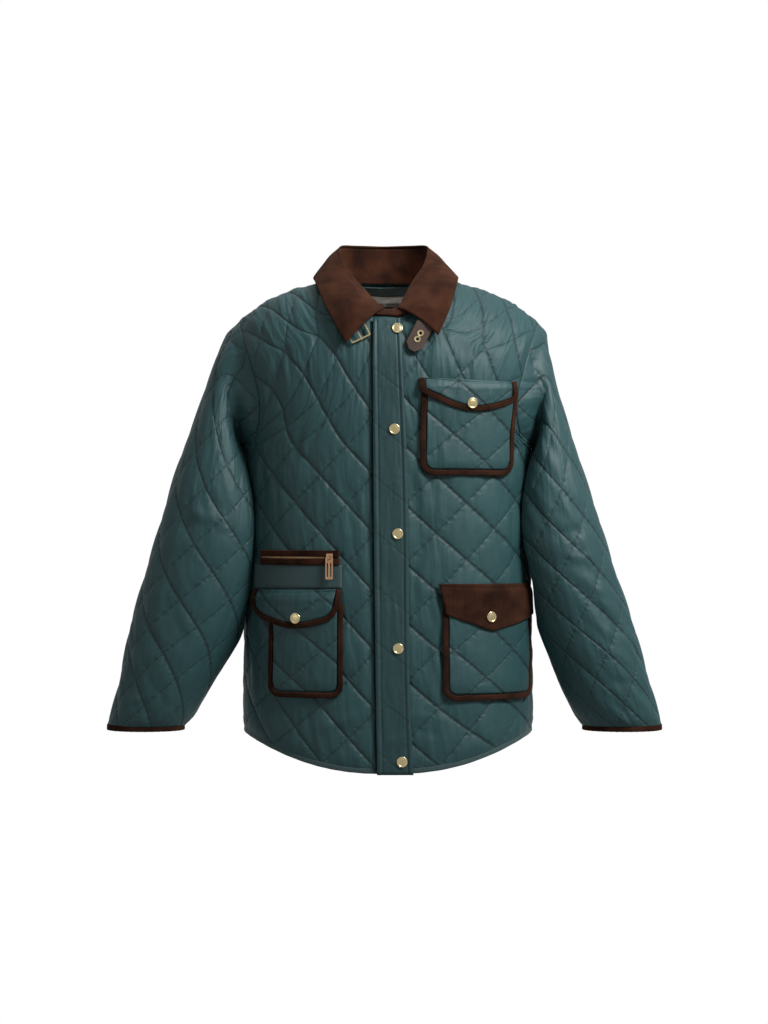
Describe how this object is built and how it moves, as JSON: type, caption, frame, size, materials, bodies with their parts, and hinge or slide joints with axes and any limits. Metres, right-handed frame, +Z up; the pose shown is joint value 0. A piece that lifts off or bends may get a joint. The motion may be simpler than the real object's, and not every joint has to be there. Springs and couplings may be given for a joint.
{
  "type": "quilted jacket",
  "caption": "Hip-length quilted jacket with a turned-down collar, snap front, patch pockets, a zipped welt pocket and an unfastened collar strap, filled out as worn.",
  "frame": {"origin": "between the shoulders of the wearer, level with the neck end of the shoulder seams, on the middle plane of the body", "axes": "+X to the wearer's left, +Y to the back of the garment, +Z up; the front of the jacket faces -Y"},
  "size_m": [0.7796, 0.299, 0.7417],
  "materials": {
    "quilted_cloth": "diamond-quilted polyester with a satin sheen, dark teal",
    "brown_cord": "fine-wale dark brown corduroy, soft nap",
    "beige_lining": "plain matt beige cloth",
    "brown_leather": "dark brown, semi-matt",
    "pale_gold": "pale gold plate, brushed",
    "copper": "warm copper-gold plate, polished"
  },
  "bodies": {
    "jacket": {"front_right": "quilted_cloth", "front_left": "quilted_cloth", "back": "quilted_cloth", "sleeve_right": "quilted_cloth", "sleeve_left": "quilted_cloth", "hem_binding_right": "quilted_cloth", "hem_binding_left": "quilted_cloth", "hem_binding_back": "quilted_cloth", "placket": "quilted_cloth", "neck_facing": "quilted_cloth", "chest_pocket": "quilted_cloth", "chest_flap": "quilted_cloth", "left_hip_pocket": "quilted_cloth", "right_hip_pocket": "quilted_cloth", "right_hip_flap": "quilted_cloth", "zip_panel": "quilted_cloth", "cuff_binding_right": "brown_cord", "cuff_binding_left": "brown_cord", "collar_stand": "brown_cord", "collar_leaf": "brown_cord", "chest_pocket_binding": "brown_cord", "chest_flap_binding": "brown_cord", "left_hip_pocket_binding": "brown_cord", "left_hip_flap": "brown_cord", "right_hip_pocket_binding": "brown_cord", "right_hip_flap_binding": "brown_cord", "zip_welt_upper": "brown_cord", "zip_welt_lower": "brown_cord", "neck_lining": "beige_lining", "zip_tape": "brown_leather", "strap_buckle_end": "brown_leather", "strap_tab_end": "brown_leather", "zip_slider": "copper", "placket_snap_1": "pale_gold", "placket_snap_2": "pale_gold", "placket_snap_3": "pale_gold", "placket_snap_4": "pale_gold", "placket_snap_5": "pale_gold", "chest_snap": "pale_gold", "left_hip_snap": "pale_gold", "right_hip_snap": "pale_gold", "strap_eyelet_1": "pale_gold", "strap_eyelet_2": "pale_gold"},
    "pull_tab": {"zip_pull_tab": "copper"},
    "buckle_frame_body": {"buckle_frame": "pale_gold"},
    "buckle_prong_body": {"buckle_prong": "pale_gold"}
  },
  "joints": [
    {"name": "pull_tab_swing", "type": "hinge", "parent": "jacket", "child": "pull_tab", "pos_m": [-0.08029, -0.14271, -0.3902], "axis": [-0.9797, 0.2004, 0], "range_deg": [0, 165]},
    {"name": "buckle_frame_swing", "type": "hinge", "parent": "jacket", "child": "buckle_frame_body", "pos_m": [-0.0455, -0.12626, -0.07413], "axis": [-0.896, -0.0879, -0.4353], "range_deg": [0, 6]},
    {"name": "buckle_prong_swing", "type": "hinge", "parent": "buckle_frame_body", "child": "buckle_prong_body", "pos_m": [-0.0455, -0.12626, -0.07413], "axis": [-0.896, -0.0879, -0.4353], "range_deg": [0, 6]}
  ]
}
